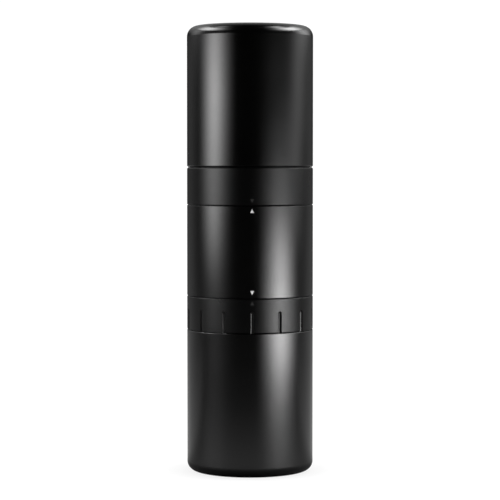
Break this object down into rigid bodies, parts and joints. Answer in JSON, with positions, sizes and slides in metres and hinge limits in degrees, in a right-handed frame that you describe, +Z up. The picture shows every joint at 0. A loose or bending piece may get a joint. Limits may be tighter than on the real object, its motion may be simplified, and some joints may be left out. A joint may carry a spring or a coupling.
{
  "type": "hand crank coffee grinder",
  "caption": "Slim cylindrical hand coffee grinder closed for travel: black jar, slotted adjusting ring, body, lid collar and cap over a folding crank",
  "frame": {"origin": "centre of the jar's flat base, on the surface it stands on", "axes": "+Z up along the grinder's axis; -Y towards the index marks at the front; +X to the right"},
  "size_m": [0.055, 0.055, 0.1941],
  "materials": {
    "jar_cup": "satin black coating",
    "jar_neck_ring": "moulded black",
    "jar_seal": "soft silicone",
    "chassis_tube": "moulded glass-filled black",
    "adjust_ring": "fine moulded texture, matte black",
    "ring_mark": "dark grey fill",
    "ring_clip": "spring steel",
    "detent_leaf": "spring steel",
    "body_shell": "satin black coating",
    "index_marks": "white fill",
    "lower_bridge": "cast and machined",
    "lower_bearing": "ground steel",
    "hopper_liner": "brushed round the bore",
    "upper_bridge": "cast and machined",
    "upper_bearing": "ground steel",
    "clamp_ring": "turned",
    "burr_carrier": "turned",
    "ring_burr": "hardened and ground",
    "burr_screws": "plain steel",
    "guide_pins": "ground steel",
    "drive_shaft": "ground stainless",
    "cone_burr": "hardened and ground",
    "spacer_washer": "plain steel",
    "burr_washer": "plain steel",
    "burr_nut": "turned steel",
    "shaft_clip": "spring steel",
    "lid_collar": "fine moulded texture, matte black",
    "collar_mark": "dark grey fill",
    "lid_plate": "turned, clear anodised",
    "lid_screws": "plain steel",
    "lid_bush": "sintered bronze",
    "lid_seal": "soft silicone",
    "cap_seal": "soft silicone",
    "crank_hub": "satin steel",
    "hub_clip": "spring steel",
    "pivot_pin": "turned steel",
    "pivot_washer": "spring steel",
    "crank_arm": "satin steel",
    "arm_slider": "polished steel",
    "knob_pin": "turned steel",
    "knob_grip": "oiled walnut",
    "knob_cap": "turned",
    "cap_shell": "satin black coating"
  },
  "bodies": {
    "jar": {"jar_cup": "jar_cup", "jar_neck_ring": "jar_neck_ring"},
    "core": {"chassis_tube": "chassis_tube", "body_shell": "body_shell", "index_marks": "index_marks", "jar_seal": "jar_seal", "ring_clip": "ring_clip", "detent_leaf": "detent_leaf", "lower_bridge": "lower_bridge", "lower_bearing": "lower_bearing", "hopper_liner": "hopper_liner", "upper_bridge": "upper_bridge", "upper_bearing": "upper_bearing", "clamp_ring": "clamp_ring"},
    "adjuster": {"adjust_ring": "adjust_ring", "ring_mark": "ring_mark"},
    "carrier": {"burr_carrier": "burr_carrier", "ring_burr": "ring_burr", "burr_screws": "burr_screws", "guide_pins": "guide_pins"},
    "shaft": {"drive_shaft": "drive_shaft", "cone_burr": "cone_burr", "spacer_washer": "spacer_washer", "burr_washer": "burr_washer", "burr_nut": "burr_nut", "shaft_clip": "shaft_clip"},
    "lid": {"lid_collar": "lid_collar", "collar_mark": "collar_mark", "lid_plate": "lid_plate", "lid_screws": "lid_screws", "lid_bush": "lid_bush", "lid_seal": "lid_seal", "cap_seal": "cap_seal"},
    "crank": {"crank_hub": "crank_hub", "hub_clip": "hub_clip", "pivot_pin": "pivot_pin", "pivot_washer": "pivot_washer"},
    "arm": {"crank_arm": "crank_arm"},
    "arm_end": {"arm_slider": "arm_slider", "knob_pin": "knob_pin"},
    "knob": {"knob_grip": "knob_grip", "knob_cap": "knob_cap"},
    "cap": {"cap_shell": "cap_shell"}
  },
  "joints": [
    {"name": "core_lift", "type": "slide", "parent": "jar", "child": "core", "axis": [0, 0, 1], "range_m": [0, 0.06]},
    {"name": "adjust_turn", "type": "hinge", "parent": "core", "child": "adjuster", "pos_m": [0, 0, 0.0694], "axis": [0, 0, 1], "range_deg": [-120, 240]},
    {"name": "burr_feed", "type": "slide", "parent": "core", "child": "carrier", "axis": [0, 0, 1], "range_m": [-0.00033, 0.00067]},
    {"name": "burr_spin", "type": "hinge", "parent": "core", "child": "shaft", "pos_m": [0, 0, 0.08], "axis": [0, 0, 1], "continuous": true},
    {"name": "lid_lift", "type": "slide", "parent": "core", "child": "lid", "axis": [0, 0, 1], "range_m": [0, 0.05]},
    {"name": "crank_turn", "type": "hinge", "parent": "lid", "child": "crank", "pos_m": [0, 0, 0.12], "axis": [0, 0, 1], "continuous": true},
    {"name": "cap_lift", "type": "slide", "parent": "lid", "child": "cap", "axis": [0, 0, 1], "range_m": [0, 0.2]},
    {"name": "crank_unfold", "type": "hinge", "parent": "crank", "child": "arm", "pos_m": [-0.02, 0, 0.147], "axis": [0, 0, 1], "range_deg": [0, 208]},
    {"name": "arm_extend", "type": "slide", "parent": "arm", "child": "arm_end", "axis": [0.8829, -0.4695, 0], "range_m": [0, 0.014]},
    {"name": "knob_spin", "type": "hinge", "parent": "arm_end", "child": "knob", "pos_m": [0.00825, -0.01502, 0.165], "axis": [0, 0, 1], "continuous": true}
  ],
  "couplings": [
    {"joint": "adjust_turn", "follows": "burr_feed", "rad_per_m": 6283.2},
    {"joint": "burr_spin", "follows": "crank_turn", "ratio": 1},
    {"joint": "crank_unfold", "follows": "cap_lift", "rad_per_m": 18.151},
    {"joint": "arm_extend", "follows": "cap_lift", "ratio": 0.07}
  ]
}
